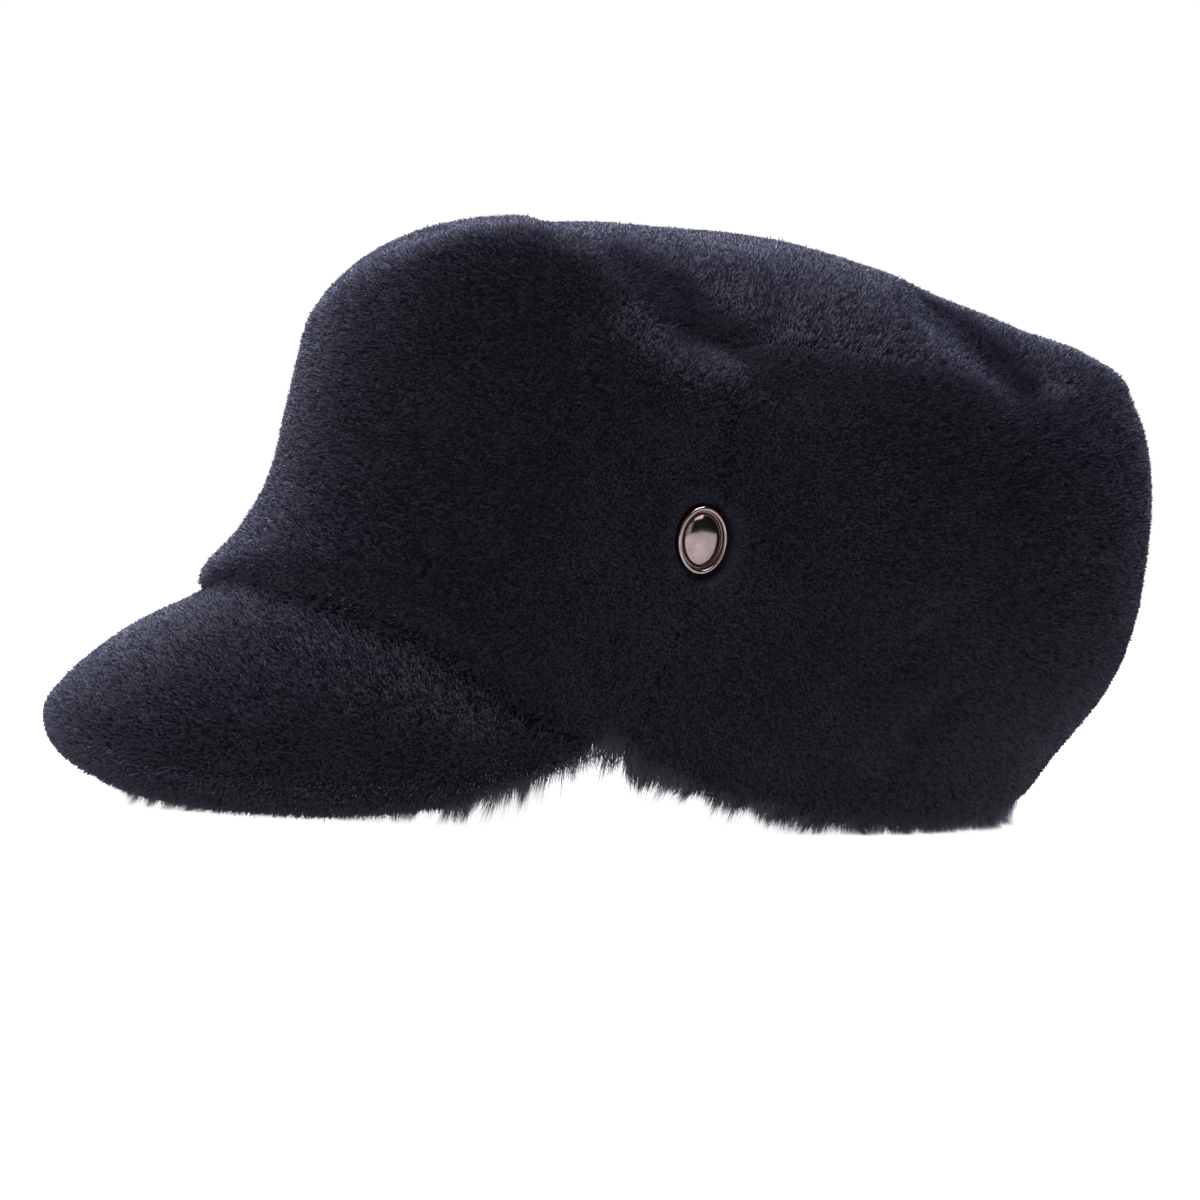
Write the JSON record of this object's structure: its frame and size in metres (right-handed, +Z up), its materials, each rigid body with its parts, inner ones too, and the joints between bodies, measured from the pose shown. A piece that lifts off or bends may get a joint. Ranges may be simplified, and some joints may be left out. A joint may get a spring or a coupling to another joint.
{
  "type": "peaked fur cap",
  "caption": "Soft hollow cap in short navy fur: a round crown with a flat top, a fur-covered peak wrapping the brow and a plain oval metal badge on the left side.",
  "frame": {"origin": "middle of the bounding box, on the plane that the cap rests on", "axes": "+Z up, the peak towards -Y, the back of the head towards +Y, the wearer's left towards +X"},
  "size_m": [0.2124, 0.3064, 0.1649],
  "materials": {
    "fur": "dense sheared fur pile, very dark navy, velvety, on a suede back",
    "badge_metal": "polished dark silver with a rose tint"
  },
  "bodies": {
    "root": {"crown_front": "fur", "crown_back": "fur", "crown_top": "fur", "peak": "fur", "side_badge": "badge_metal"}
  },
  "joints": []
}
